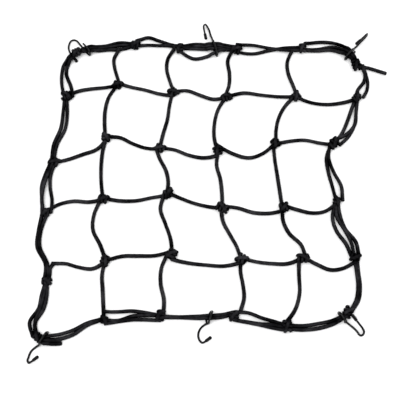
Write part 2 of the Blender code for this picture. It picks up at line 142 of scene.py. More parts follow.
# Points at the eye's bend: distance out of the net from the inner point, share of the legs'
# distance there, and height. The first point under the cords is the same without the height
EYE_BEND = ((0.4, 0.2, 4.8), (0.5, 0.5, 2.4))
EYE_UNDER = (2.6, 0.75)
END_CLOSES = 2.8             # over this last stretch a free end under the cords closes the eye
SHANK_UNDER_PASSES = 1.0     # a shank under the cords passes the outer point by this much

# Surfaces
YARNS_AROUND = 8             # yarns of each direction round the sheath
YARN_CELL = 1.76             # millimetres of cord per crossing of the same yarns
YARN_FULLNESS = 0.6          # under 1, a yarn's section is flatter on top
GROOVE_SHADE_BRIGHTNESS = 0.5              # painted shade: brightness between two yarns, over that on top of one
# Painted sheen: how sharply and how brightly the lighter streaks and glints stand out on the cords
SHEEN_CONTRAST = 2.0
SHEEN_BRIGHTNESS = 4.0
FUZZ_RELIEF = 0.35           # relief of the stray fibres, over that of the yarns
# Painted shade: the cord's colour darkens where other surfaces close it in, in crevices and next to the
# floor
PAINTED_SHADE_REACH = 7.0          # millimetres around a point that may shade it
PAINTED_SHADE_DARKNESS = 3.2
PAINTED_SHADE_SAMPLES = 8

# Noises: cells to a metre, and detail
CORD_FUZZ = (900.0, 3.0)
# The next two noises paint sheen on the cords: fine glints and longer lighter streaks
CORD_SHEEN_GLINTS = (300.0, 3.0)
CORD_SHEEN_STREAKS = (55.0, 2.0)
WIRE_GRAIN = (1400.0, 2.0)
WIRE_PATCHES = (160.0, 4.0)
CAP_WAVES = (350.0, 2.0)

# Colours: position on the ramp, and colour
CORD_COLOURS = ((0.05, (0.0, 0.0, 0.0001, 1.0)), (0.95, (0.0275, 0.0270, 0.0302, 1.0)))
WIRE_COLOURS = ((0.3, (0.0005, 0.0005, 0.0008, 1.0)), (0.75, (0.004, 0.004, 0.005, 1.0)))
CAP_COLOURS = ((0.3, (0.001, 0.001, 0.0012, 1.0)), (0.8, (0.005, 0.005, 0.006, 1.0)))
FLOOR_COLOUR = (0.92, 0.92, 0.925, 1.0)

# Roughness: how far it spreads, and the least
CORD_ROUGHNESS = (0.25, 0.48)
WIRE_ROUGHNESS = (0.15, 0.12)
CAP_ROUGHNESS = (0.2, 0.45)
FLOOR_ROUGHNESS = 0.9        # the same all over

# Relief: strength, and depth in millimetres
CORD_BUMP = (0.55, 0.22)
WIRE_BUMP = (0.25, 0.05)
CAP_BUMP = (0.3, 0.1)

# Strength of the shine
CORD_SPECULAR = 0.0
WIRE_SPECULAR = 0.15
CAP_SPECULAR = 0.1
FLOOR_SPECULAR = 0.1

# Stage, in metres
FLOOR_HALF = 6.0             # half the side of the square floor
WORLD_STRENGTH = 0.9
CAMERA_TARGET = (-0.022, -0.026, 0.0)
CAMERA_ELEVATION = 69.0      # degrees
CAMERA_DISTANCE = 0.95
CAMERA_LENS = 70             # millimetres
CAMERA_SENSOR = 36           # millimetres

# Lamps: name, place, side of the square, watts
LAMPS = (
    ("key", (-0.5, -0.4, 1.6), 1.0, 15.5),
    ("fill", (0.9, 0.5, 1.4), 1.2, 7.2),
)

# Knots: name, x, y, heading of the long axis (degrees), length, width
KNOTS = (
    ("TL", -183.4, 177, 25, 13.5, 12),
    ("T1", -106.8, 191, 0, 13, 13),
    ("T2", -48.4, 186, 90, 14.5, 10),
    ("T3", 25.9, 183.7, -18, 14, 12.5),
    ("T4", 113, 186.9, 90, 15.5, 10.5),
    ("TR", 181.7, 161, 103, 16, 12.5),
    ("R1", 179, 113.5, 50, 15, 11),
    ("R2", 146, 49, 50, 17, 12),
    ("R3", 144.1, -28.3, 80, 15, 10),
    ("R4", 161.8, -100.2, -5, 14.8, 10.5),
    ("BR", 148.6, -165.8, 60, 15, 12),
    ("B4", 78.1, -182, 93, 15.5, 12),
    ("B3", 17, -170.5, 85, 13, 12),
    ("B2", -67.4, -169.5, 80, 14, 11.5),
    ("B1", -132, -174.8, 90, 11.5, 10),
    ("BL", -206.5, -194.8, 140, 14.5, 11),
    ("L4", -201.3, -129, 0, 12.5, 10),
    ("L3", -208.6, -43.6, 8, 13, 11.5),
    ("L2", -202.4, 23.2, -20, 15.5, 12),
    ("L1", -193.2, 115.6, 6, 14, 13.5),
    ("N11", -128.5, 131.5, -10, 15, 12),
    ("N12", -56.5, 121, -45, 14.5, 12.5),
    ("N13", 12, 113.5, 20, 14.5, 11),
    ("N14", 101.5, 115.5, 45, 14.5, 12),
    ("N21", -140, 57, 90, 13.5, 12),
    ("N22", -72, 42, -20, 15.5, 11.5),
    ("N23", 0, 38.5, 110, 15, 12),
    ("N24", 72.5, 49, 120, 13.5, 12),
    ("N31", -140, -26, -10, 15, 12),
    ("N32", -60.5, -18.5, 30, 14.5, 13),
    ("N33", 5, -37.5, -25, 16, 12.5),
    ("N34", 79.5, -37, 20, 14.5, 13),
    ("N41", -134, -103.5, 70, 15.5, 12),
    ("N42", -55.5, -96.5, 60, 14.5, 13),
    ("N43", 27.5, -102, -30, 15.5, 13.5),
    ("N44", 100, -101, 0, 16.5, 12),
)

# Knots that lie on a hook's cap, and how far it holds them up
KNOTS_HELD_UP = {"TL": 4.5}

# Places on the border where a mesh cord leaves it without a knot of its own: name, x, y
BRANCHES = (
    ("J1", -124.5, 184),
    ("J4", 104, 183),
    ("JL", -196.8, -108.5),
    ("J3", 24, -164),
)

# Mesh cords: from, to, then how far the cord lies to the left of the straight line between
# the two places at the start, quarter, half, three quarters and end
MESH_CORDS = (
    ("L1", "N11", 0.5, 3.7, 2.9, 0.7, -0.2),
    ("N11", "N12", 3, 0, -1.6, -4.4, -5),
    ("N12", "N13", 1, 4.6, 0, -4, 0),
    ("N13", "N14", 1.5, 6.3, 2.8, 0, -0.7),
    ("N14", "R1", -1.5, -8.7, -10.7, -8, -2),
    ("L2", "N21", -0.7, -4.8, -7, -9, -3),
    ("N21", "N22", 1.5, 3.6, -1, -3.3, -1),
    ("N22", "N23", 0.5, -1, -7.4, -10.2, -7),
    ("N23", "N24", 8, -6.5, -14.7, -11.5, 0),
    ("N24", "R2", -1, 3, 4.4, 0.5, -2.5),
    ("L3", "N31", 1.6, 6.8, 6.4, 0.8, -0.5),
    ("N31", "N32", 1.3, -4, -5.7, -3.5, -2),
    ("N32", "N33", 0.5, -2, -3.6, -3, -0.3),
    ("N33", "N34", 2.5, 0, -6, -7.2, -4),
    ("N34", "R3", 3, -5, -11.3, -11.3, -3),
    ("JL", "N41", 0.8, -0.3, -6, -9, -2.5),
    ("N41", "N42", -0.5, 3.3, 2, 0.7, 4),
    ("N42", "N43", -6, -9, -10, -9.8, -4.5),
    ("N43", "N44", 1, -3.7, -6, -6.2, 0.5),
    ("N44", "R4", 1.5, -7.4, -14.4, -12.8, -5),
    ("J1", "N11", -3.5, -8.9, -7, -2.2, 3),
    ("N11", "N21", -0.5, -7.8, -8.7, -5.8, -1),
    ("N21", "N31", 0, -3.7, -4.5, -3.3, -0.3),
    ("N31", "N41", -3, -11.8, -13.5, -5.5, 0.3),
    ("N41", "B1", -0.3, -3.6, -2.6, -1.6, -0.6),
    ("T2", "N12", -6.5, -13.5, -13, -6.8, 1.3),
    ("N12", "N22", -1, -0.8, 0.7, -0.4, -0.5),
    ("N22", "N32", -5, -2.3, 2, 2.2, -2),
    ("N32", "N42", -5, -10.8, -5.7, -0.5, 0.5),
    ("N42", "B2", -5.3, -9.2, -6.7, 0.5, 3),
    ("T3", "N13", -5, -8.4, -2.8, -0.2, -2.8),
    ("N13", "N23", -1.5, -8.2, -9.7, -7.4, -0.5),
    ("N23", "N33", 0.7, -2.7, 0.4, 1, 0),
    ("N33", "N43", -2, -5, -3, -0.5, -1),
    ("N43", "J3", -1.3, -1, 2.4, 4.3, 1),
    ("J4", "N14", -5, -11.2, -10.3, -4.5, 1.5),
    ("N14", "N24", -1.5, -7.8, -9.3, -6.2, 0.8),
    ("N24", "N34", -2.8, -3.4, -2.8, -2.2, -1.8),
    ("N34", "N44", -2, -6.5, -4.7, 3.5, 3.5),
    ("N44", "B4", -5, -0.3, 5.1, 4.4, -4),
)

# Border cords, clockwise: from, to, then the distance outside the straight line between the
# knots at the start, quarter, half, three quarters and end, and the rise over its neighbours
BORDER_CORDS = (
    ("TL", "T1", 3, 7.9, 6.6, 8.2, 2.5, 0),
    ("TL", "T1", 1.5, 4, 3.3, 3.2, 0.3, 0.6),
    ("TL", "T1", 3, 1, 0.2, -2.4, 0, 0.3),
    ("T1", "T2", 6.3, 13.4, 10, 6, 3.5, 0),
    ("T1", "T2", -1, 1.7, 2.4, 3.2, 1, 0.4),
    ("T2", "T3", 3.2, 7.5, 7.2, 8.1, 4.8, 0),
    ("T2", "T3", 1, 3.8, 3.6, 3.7, 1.5, 0.6),
    ("T2", "T3", 0.7, 0.5, 0.2, 0.3, 0, 0.3),
    ("T2", "T3", -4.6, -14.4, -10.2, -1, 2, 0),
    ("T3", "T4", 8, 5.9, 0.6, -2.8, -3.5, 1.8),
    ("T3", "T4", -3, -6, -1.7, 1.5, 1.5, 0),
    ("T4", "TR", 7, 16.8, 21.9, 20.2, 5.5, 0),
    ("T4", "TR", -2.5, 4.8, 15.3, 14.8, 3.7, 0.6),
    ("T4", "TR", -3.5, 2.4, 10.4, 9.8, 1.7, 0.3),
    ("TR", "R1", 6, 11, 9.6, 1.9, -2, 0.3),
    ("TR", "R1", 8, 12, 14.4, 13.3, 8, 0),
    ("R1", "R2", -1, 0.5, 2.6, 3.3, 0.7, 0.4),
    ("R1", "R2", 1, 6.9, 12.5, 12.5, 7, 0),
    ("R1", "R2", 1, 6.7, 12.8, 8.7, -5.5, 0.8),
    ("R2", "R3", -3, -10, -8.7, -4.4, -0.5, 0),
    ("R2", "R3", -5, -7.6, -2.3, 6.5, 7.2, 0.5),
    ("R3", "R4", -0.5, -10.9, -11.4, -5.4, -4, 0),
    ("R3", "R4", 0, -5.9, -2, 1, -1, 0.5),
    ("R3", "R4", 1.5, -1.3, -0.4, 6.6, 4.5, 0.2),
    ("R4", "BR", -1, 3.7, 7.6, 7.8, 2, 0.4),
    ("R4", "BR", 2, 5.8, 10.1, 10.4, 3.4, 0),
    ("BR", "B4", 1.6, 5.2, 5.2, 3.8, -1, 0.4),
    ("BR", "B4", 3.4, 8.9, 10.4, 8.5, 3.6, 0),
    ("B4", "B3", -0.4, -2.4, -4.1, -6.9, -5, 0.4),
    ("B4", "B3", 5, 5.1, 4.3, 4, 4.2, 0),
    ("B4", "B3", 2, 1.5, 3.4, 3.8, 4, 0.7),
    ("B3", "B2", -4.5, -0.3, 0.6, 1.7, 1, 0.6),
    ("B3", "B2", -2.5, 2.6, 2.6, 2.1, 2.5, 0),
    ("B2", "B1", 0.5, -4.3, -7.8, -8.3, -9.5, 0),
    ("B2", "B1", 0, -1.2, -1.8, 2, 0.4, 0.6),
    ("B2", "B1", 6, 3.8, 2.3, 3, 4.6, 0.2),
    ("B1", "BL", -1.5, -1.5, 2.5, 2.9, 1, 0.4),
    ("B1", "BL", -1, 0.8, 7.4, 7.9, 4, 0.15),
    ("BL", "L4", 1.2, 5.9, -1, -2.4, 0, 0.3),
    ("BL", "L4", 2.5, 6.2, 2.8, 0.7, 0.7, 0.7),
    ("BL", "L4", 6, 12.6, 4.7, 3.5, 1, 0),
    ("L4", "L3", -1.8, -0.6, 7.7, 5.8, -2.5, 0.4),
    ("L4", "L3", 3, 1.6, 10.9, 8.9, 4, 0),
    ("L3", "L2", 4.5, 7.7, 10.6, 8.6, 4.4, 0),
    ("L3", "L2", 3, 7.4, 8, 5.4, 1.5, 1.8),
    ("L3", "L2", -6.3, -4.8, 0.2, 2, -1, 0.2),
    ("L2", "L1", 4.1, 5, 0, 0.7, 2.5, 0.4),
    ("L2", "L1", 1.5, 1.2, -5.6, -4.6, 0.4, 0),
    ("L1", "TL", 3.5, 9.9, 13.2, 12.8, 3.6, 0.4),
    ("L1", "TL", -8.5, -1.9, 7.2, 7.7, -0.9, 0),
)

# Short runs of cord with a shape of their own: name, then x, y and how far each point is held
# up over a cord at rest, where a hook's wire under it doesn't lift it more
SHORT_RUNS = (
    ("cut_end_top_right",
     ((186, 160.5, 2.1), (192, 158, 0.6), (199.5, 156.3, 0), (219.5, 149, 0))),
    ("cut_end_bottom_left_upper",
     ((-204, -196, 2.1), (-199, -198.5, 0), (-194.5, -198.8, 0), (-187, -199, 0), (-180.9, -199, 0))),
    ("cut_end_bottom_left_lower",
     ((-204, -198, 2.1), (-200, -201.8, 0), (-195, -202.2, 0), (-187, -202.3, 0), (-179.8, -201.8, 0))),
    ("beside_left_border",
     ((-200, -128, 1.5), (-198.6, -121, 0), (-198.6, -113.5, 0), (-195.3, -107.7, 0))),
)

# Hooks: name, inner and outer point of the eye, how far the leg under the cords lies to the left
# of the one over them (looking outwards) at the bend and at the outer point, which leg runs over
# the cords, how far the free end passes the outer point, then x, y and height of each point of
# the J; the last leg is straight and carries the cap
HOOKS = (
    ("tl", (-165.3, 177.1), (-173.2, 188.1), (2.3, 2.6), "end", 3.5,
     ((-178.2, 190.5, 1.2), (-181.9, 195.1, 1.2), (-184.9, 198.7, 1.2), (-189, 200.3, 1.2),
      (-192.8, 198.5, 1.2), (-194.8, 194, 1.2), (-195.2, 188, 1.2), (-193.3, 181.5, 1.5),
      (-190, 176.3, 2.1), (-182.5, 166.5, 2.1))),
    ("tm", (0.7, 175), (-5.1, 196.4), (0.8, 2.4), "shank", 1,
     ((-6.2, 202.5, 2.0), (-8, 208, 1.25), (-9.5, 214.5, 1.2), (-11.3, 219, 1.25), (-13, 221.5, 2.6),
      (-15, 222, 5.2), (-17, 218, 8.0), (-17, 213, 9.2), (-16.3, 208.5, 9.5), (-14, 196, 9.5))),
    ("tr", (167.5, 169.9), (179.4, 183.6), (-0.4, -2.6), "shank", 1,
     ((180.9, 186.6, 2.0), (184.7, 190.7, 1.25), (189.6, 196.3, 1.2), (194.6, 201.8, 1.25),
      (198.1, 205.3, 2.8), (199.1, 206.3, 6.5), (196.6, 203.3, 10.2), (192.6, 198.3, 12.0),
      (188.1, 193.8, 12.3), (181.1, 186.8, 12.3))),
    ("br", (137.5, -166), (144.1, -177.3), (0, 2.6), "shank", 0,
     ((146.3, -177.4, 2.0), (150.1, -180.3, 1.25), (154.7, -184.3, 1.2), (158.2, -188.3, 1.2),
      (159.8, -191, 1.2), (162.2, -192.5, 1.25), (164.7, -191, 1.8), (165.5, -188, 2.8),
      (163.5, -184, 4.2), (151.3, -170, 10.5))),
    ("bm", (-7.3, -164.9), (-12, -178.5), (-3.4, -4), "shank", -0.3,
     ((-14.7, -179.2, 2.0), (-18.7, -181.6, 1.25), (-21.9, -185.1, 1.2), (-23.6, -189, 1.2),
      (-24.1, -192.5, 1.2), (-23.5, -195.8, 1.25), (-22, -199, 2.0), (-19.5, -201.2, 3.6),
      (-16.8, -200.7, 5.8), (-9.2, -196.3, 12.5))),
    ("bl", (-195.8, -188.8), (-204.4, -203.1), (0.3, 1.6), "shank", -2.5,
     ((-207.6, -205.1, 2.0), (-211, -207.6, 1.25), (-213.7, -210.5, 1.2), (-215.4, -214.3, 1.2),
      (-216.3, -217.8, 1.2), (-217, -220.8, 1.4), (-215, -223.8, 3.2), (-212, -223, 5.4),
      (-203, -218, 12))),
)

TUCKED_HOOK = "tl"           # its J lies flat, with the cap under the border cords


# ---------------------------------------------------------------- routes

def smooth_through(values, position):
    """Value of a smooth curve through equally spaced values, at a position from 0 to 1."""
    last = len(values) - 1
    cell = min(int(position * last), last - 1)
    t = position * last - cell
    start, end = values[cell], values[cell + 1]
    before = values[cell - 1] if cell > 0 else 2 * start - end
    after = values[cell + 2] if cell + 2 <= last else 2 * end - start
    slope_in = (end - before) / 2
    slope_out = (after - start) / 2
    t2, t3 = t * t, t * t * t
    return ((2 * t3 - 3 * t2 + 1) * start + (t3 - 2 * t2 + t) * slope_in
            + (3 * t2 - 2 * t3) * end + (t3 - t2) * slope_out)


def ease(share):
    """Smooth step from 0 to 1."""
    share = max(0.0, min(1.0, share))
    return share * share * (3 - 2 * share)


def distance_to_segment(x, y, start, end):
    """Level distance from a place to the straight line between two points."""
    ax, ay = start
    bx, by = end
    length2 = (bx - ax) ** 2 + (by - ay) ** 2
    t = max(0.0, min(1.0, ((x - ax) * (bx - ax) + (y - ay) * (by - ay)) / length2))
    return math.hypot(x - ax - t * (bx - ax), y - ay - t * (by - ay))


def wires_under_cords():
    """Straight stretches of wire that cords lie over: start, end and how far they lift a cord."""
    stretches = [(hook[1], hook[2], EYE_LIFT) for hook in HOOKS]
    for hook in HOOKS:
        if hook[0] == TUCKED_HOOK:
            stretches.append((hook[-1][-4][:2], hook[-1][-1][:2], CAP_LIFT))
    return stretches


def wire_lift(x, y):
    """How far a cord is held up over the wires that pass under it."""
    lift = 0.0
    for start, end, height in wires_under_cords():
        share = (LIFT_RAMP - distance_to_segment(x, y, start, end)) / (LIFT_RAMP - LIFT_FLAT)
        lift = max(lift, height * ease(share))
    return lift


def cord_route(places, start, end, offsets, rise):
    """Centre line of one cord between two places."""
    ax, ay = places[start]
    bx, by = places[end]
    length = math.hypot(bx - ax, by - ay)
    left = (-(by - ay) / length, (bx - ax) / length)
    ramp = KNOT_RAMP / length
    count = max(CORD_STEPS_LEAST, round(length / CORD_STEP))
    points = []
    for i in range(count + 1):
        t = i / count
        off = smooth_through(offsets, t)
        x = ax + (bx - ax) * t + left[0] * off
        y = ay + (by - ay) * t + left[1] * off
        near_knot = ease(1 - min(t, 1 - t) / ramp)
        bump = rise * (1 - (2 * t - 1) ** 4)
        z = CORD_REST + bump + max(KNOT_RISE * near_knot, wire_lift(x, y))
        points.append(Vector((x, y, z)))
    return points


def smooth_route(points, steps):
    """Smooth curve through the points."""
    last = (len(points) - 1) * steps
    return [Vector([smooth_through([p[axis] for p in points], i / last) for axis in range(3)])
            for i in range(last + 1)]


def knot_frame(row):
    """Centre of a knot's foot, turn to its long axis, and how far it is held up."""
    name, x, y, heading, *_ = row
    held = KNOTS_HELD_UP.get(name, 0.0)
    return Vector((x, y, held)), Matrix.Rotation(math.radians(heading), 3, "Z"), held


def knot_route(row, rng):
    """Centre line of the cord wrapped round a knot."""
    centre, turn, held = knot_frame(row)
    length, width = row[4], row[5]
    hand = rng.choice((-1, 1))
    start_angle = rng.uniform(*WRAP_START) * math.pi
    half_length = length / 2 - WRAP_RADIUS
    half_width = width / 2 - WRAP_RADIUS
    half_height = KNOT_HEIGHT * width / 2 - WRAP_RADIUS
    around = 2 * math.pi * (half_width + half_height) / 2
    count = round(WRAP_TURNS * around / WRAP_STEP)
    points = []
    for i in range(count + 1):
        share = i / count
        angle = hand * (start_angle + 2 * math.pi * WRAP_TURNS * share)
        along = half_length * (2 * share - 1) + WRAP_LEAN * math.sin(angle)
        swell = WRAP_SWELL * (1 - (2 * share - 1) ** 2) - WRAP_TIGHT
        across = (half_width + swell) * math.cos(angle)
        spot = centre + turn @ Vector((along, across, 0))
        spot.z = held + max(WRAP_REST, KNOT_CENTRE_Z + (half_height + swell) * math.sin(angle))
        points.append(spot)
    return points


def back_route(row, rng):
    """Centre line of the end that is led back over the wraps of a knot."""
    centre, turn, _ = knot_frame(row)
    length, width = row[4], row[5]
    side = rng.choice((-1, 1))
    bow = rng.uniform(*BACK_BOW)
    half = length / 2 - BACK_INSET
    foot = KNOT_CENTRE_Z - BACK_FOOT
    top = KNOT_CENTRE_Z + KNOT_HEIGHT * width / 2 - BACK_SINK
    first_shoulder, last_shoulder = BACK_SHOULDERS
    heights = (foot, top - first_shoulder, top, top, top - last_shoulder, foot)
    spots = [Vector((half * along + onward, side * (width * across + bow * bowed), z))
             for (along, onward, across, bowed), z in zip(BACK_POINTS, heights)]
    return smooth_route([centre + turn @ spot for spot in spots], BACK_STEPS)


# ---------------------------------------------------------------- meshes

def ring_frames(points):
    """Side and up directions at each point, without twist."""
    frames = []
    up = Vector((0, 0, 1))
    for i in range(len(points)):
        ahead = points[min(i + 1, len(points) - 1)] - points[max(i - 1, 0)]
        ahead.normalize()
        if i == 0 and abs(ahead.z) > NEARLY_UPRIGHT:
            up = Vector((0, 1, 0))
        side = ahead.cross(up).normalized()
        up = side.cross(ahead).normalized()
        frames.append((side, up))
    return frames


def round_end(points, radii, radius):
    """Adds the small rings that round off both ends of a tube."""
    for index, beside in ((0, 1), (-1, -2)):
        tip, size = points[index], radii[index]
        ahead = (tip - points[beside]).normalized()
        for past, narrowed in END_RINGS:
            place = 0 if index == 0 else len(points)
            points.insert(place, tip + ahead * radius * past)
            radii.insert(place, narrowed * size)


def lengths_along(points, start):
    """Length travelled at each point, counted on from the start value."""
    lengths = [start]
    for here, onward in zip(points, points[1:]):
        lengths.append(lengths[-1] + (onward - here).length)
    return lengths


def ring_verts(point, frame, radius, sides):
    """Points of one ring round a place on the route, in metres."""
    side, up = frame
    verts = []
    for k in range(sides):
        angle = 2 * math.pi * k / sides
        verts.append((point + (side * math.cos(angle) + up * math.sin(angle)) * radius) * MM)
    return verts


def tube_faces(first, lengths, sides):
    """Faces of one tube, and the UVs of their corners: share of the turn, length along."""
    faces, uvs = [], []
    for i in range(len(lengths) - 1):
        v0, v1 = lengths[i], lengths[i + 1]
        for k in range(sides):
            a = first + i * sides + k
            b = first + i * sides + (k + 1) % sides
            u0, u1 = k / sides, (k + 1) / sides
            faces.append((a, b, b + sides, a + sides))
            uvs.extend(((u0, v0), (u1, v0), (u1, v1), (u0, v1)))
    last = first + (len(lengths) - 1) * sides
    faces.append(tuple(first + k for k in reversed(range(sides))))
    uvs.extend((0.5, lengths[0]) for _ in range(sides))
    faces.append(tuple(last + k for k in range(sides)))
    uvs.extend((0.5, lengths[-1]) for _ in range(sides))
    return faces, uvs


def tube_mesh(name, routes, radius, sides, uneven=0.0):
    """Mesh of round tubes along the routes, with the length along each cord in its UV map."""
    verts, faces, uvs = [], [], []
    for number, route in enumerate(routes):
        points = [Vector(p) for p in route]
        radii = [radius * (1 + uneven * math.sin(UNEVEN_WAVE * i + UNEVEN_SHIFT * number))
                 for i in range(len(points))]
        round_end(points, radii, radius)
        lengths = lengths_along(points, BRAID_SHIFT * number)
        new_faces, new_uvs = tube_faces(len(verts), lengths, sides)
        faces += new_faces
        uvs += new_uvs
        for point, frame, size in zip(points, ring_frames(points), radii):
            verts += ring_verts(point, frame, size, sides)
    mesh = bpy.data.meshes.new(name)
    mesh.from_pydata([tuple(v) for v in verts], [], faces)
    layer = mesh.uv_layers.new(name="along")
    for loop, uv in zip(layer.data, uvs):
        loop.uv = uv
    mesh.shade_smooth()
    return mesh


def turned_mesh(name, profile, sides):
    """Closed mesh turned from radius and height pairs that start and end on the axis."""
    verts = [(0, 0, profile[0][1] * MM)]
    rings = profile[1:-1]
    for r, z in rings:
        for k in range(sides):
            angle = 2 * math.pi * k / sides
            verts.append((r * math.cos(angle) * MM, r * math.sin(angle) * MM, z * MM))
    verts.append((0, 0, profile[-1][1] * MM))
    faces = []
    for k in range(sides):
        faces.append((0, 1 + k, 1 + (k + 1) % sides))
    for i in range(len(rings) - 1):
        for k in range(sides):
            a = 1 + i * sides + k
            b = 1 + i * sides + (k + 1) % sides
            faces.append((a, a + sides, b + sides, b))
    base = 1 + (len(rings) - 1) * sides
    for k in range(sides):
        faces.append((base + k, len(verts) - 1, base + (k + 1) % sides))
    mesh = bpy.data.meshes.new(name)
    mesh.from_pydata(verts, [], faces)
    mesh.shade_smooth()
    return mesh


def add_piece(name, mesh, material, node):
    """Adds a visible piece on the root body, in place of the node's solid."""
    piece = bpy.data.objects.new(name, mesh)
    bpy.context.scene.collection.objects.link(piece)
    mesh.materials.append(material)
    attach(piece, "root")
    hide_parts(node)


# ---------------------------------------------------------------- materials

class Nodes:
    """Short way to add and join shader nodes."""

    def __init__(self, name, specular):
        self.material = bpy.data.materials.new(name)
        self.material.use_nodes = True
        self.tree = self.material.node_tree
        self.shader = self.tree.nodes["Principled BSDF"]
        self.shader.inputs["Specular IOR Level"].default_value = specular

    def add(self, kind, **values):
        node = self.tree.nodes.new(kind)
        for key, value in values.items():
            setattr(node, key, value)
        return node

    def join(self, source, target):
        self.tree.links.new(source, target)

    def math(self, operation, first, second=None, third=None):
        node = self.add("ShaderNodeMath", operation=operation)
        for socket, value in zip(node.inputs, (first, second, third)):
            if value is None:
                continue
            if isinstance(value, (int, float)):
                socket.default_value = value
            else:
                self.join(value, socket)
        return node.outputs[0]

    def ramp(self, source, stops):
        """Colour of the surface, from the stops' positions and colours."""
        node = self.add("ShaderNodeValToRGB")
        for element, (position, colour) in zip(node.color_ramp.elements, stops):
            element.position = position
            element.color = colour
        self.join(source, node.inputs[0])
        self.join(node.outputs["Color"], self.shader.inputs["Base Color"])

    def place(self):
        return self.add("ShaderNodeTexCoord").outputs["Object"]

    def noise(self, place, scale, detail):
        node = self.add("ShaderNodeTexNoise")
        node.inputs["Scale"].default_value = scale
        node.inputs["Detail"].default_value = detail
        self.join(place, node.inputs["Vector"])
        return node.outputs[0]

    def rough(self, source, spread, least):
        """Roughness that follows the source, by this spread over the least value."""
        value = self.math("ADD", self.math("MULTIPLY", source, spread), least)
        self.join(value, self.shader.inputs["Roughness"])

    def bump(self, height, strength, distance):
        """Relief of the surface, with its depth in millimetres."""
        node = self.add("ShaderNodeBump")
        node.inputs["Strength"].default_value = strength
        node.inputs["Distance"].default_value = distance * MM
        self.join(height, node.inputs["Height"])
        self.join(node.outputs["Normal"], self.shader.inputs["Normal"])

    def open_to_light(self, reach):
        """How open the surface is within the given distance, from 0 in a crevice to 1; used to paint
        shade into the colour.
        """
        node = self.add("ShaderNodeAmbientOcclusion", samples=PAINTED_SHADE_SAMPLES)
        node.inputs["Distance"].default_value = reach * MM
        return node.outputs["AO"]


def braid_height(n):
    """Height of a sheath of yarns at 45 degrees, over and under in turn."""
    uv = n.add("ShaderNodeUVMap", uv_map="along")
    split = n.add("ShaderNodeSeparateXYZ")
    n.join(uv.outputs["UV"], split.inputs[0])
    around = n.math("MULTIPLY", split.outputs[0], YARNS_AROUND)
    along = n.math("DIVIDE", split.outputs[1], YARN_CELL)
    right = n.math("ADD", around, along)
    left = n.math("SUBTRACT", around, along)
    right_yarn = n.math("SINE", n.math("MULTIPLY", n.math("FRACT", right), math.pi))
    left_yarn = n.math("SINE", n.math("MULTIPLY", n.math("FRACT", left), math.pi))
    cell = n.math("ADD", n.math("FLOOR", right), n.math("FLOOR", left))
    on_top = n.math("PINGPONG", cell, 1.0)
    weave = n.add("ShaderNodeMix", data_type="FLOAT")
    n.join(on_top, weave.inputs["Factor"])
    n.join(right_yarn, weave.inputs["A"])
    n.join(left_yarn, weave.inputs["B"])
    return n.math("POWER", weave.outputs["Result"], YARN_FULLNESS)


def braided_cord_material():
    """Black polyester sheath braided over rubber: painted sheen patches, painted shade in crevices and
    between the yarns, stray fibres.
    """
    n = Nodes("elastic_cord", CORD_SPECULAR)
    height = braid_height(n)
    place = n.place()
    fuzz = n.noise(place, *CORD_FUZZ)
    glints = n.noise(place, *CORD_SHEEN_GLINTS)
    shine = n.noise(place, *CORD_SHEEN_STREAKS)
    # Painted sheen: lighter patches where the streak and glint noises meet
    patches = n.math("MULTIPLY", n.math("POWER", shine, SHEEN_CONTRAST), glints)
    # Painted shade between the yarns, and painted light on their tops
    yarn_groove_shade = n.math("MULTIPLY_ADD", height, 1 - GROOVE_SHADE_BRIGHTNESS, GROOVE_SHADE_BRIGHTNESS)
    shade_and_sheen = n.math("MULTIPLY", yarn_groove_shade, n.math("MULTIPLY", patches, SHEEN_BRIGHTNESS))
    # Painted shade: darker colour in crevices and next to the floor
    shade = n.math("POWER", n.open_to_light(PAINTED_SHADE_REACH), PAINTED_SHADE_DARKNESS)
    n.ramp(n.math("MULTIPLY", shade_and_sheen, shade), CORD_COLOURS)
    n.rough(fuzz, *CORD_ROUGHNESS)
    n.bump(n.math("ADD", height, n.math("MULTIPLY", fuzz, FUZZ_RELIEF)), *CORD_BUMP)
    return n.material


def wire_material():
    """Steel wire with a thin black coat: soft gloss, faint unevenness, a little wear."""
    n = Nodes("hook_wire", WIRE_SPECULAR)
    place = n.place()
    grain = n.noise(place, *WIRE_GRAIN)
    patches = n.noise(place, *WIRE_PATCHES)
    n.ramp(patches, WIRE_COLOURS)
    n.rough(patches, *WIRE_ROUGHNESS)
    n.bump(grain, *WIRE_BUMP)
    return n.material


def cap_material():
    """Dipped soft coating: satin black with a slightly wavy surface."""
    n = Nodes("hook_cap", CAP_SPECULAR)
    waves = n.noise(n.place(), *CAP_WAVES)
    n.ramp(waves, CAP_COLOURS)
    n.rough(waves, *CAP_ROUGHNESS)
    n.bump(waves, *CAP_BUMP)
    return n.material


def floor_material():
    """Even pale paper, set on the shader's own sockets."""
    n = Nodes("studio_floor", FLOOR_SPECULAR)
    n.shader.inputs["Roughness"].default_value = FLOOR_ROUGHNESS
    n.shader.inputs["Base Color"].default_value = FLOOR_COLOUR
    return n.material


# ---------------------------------------------------------------- pieces

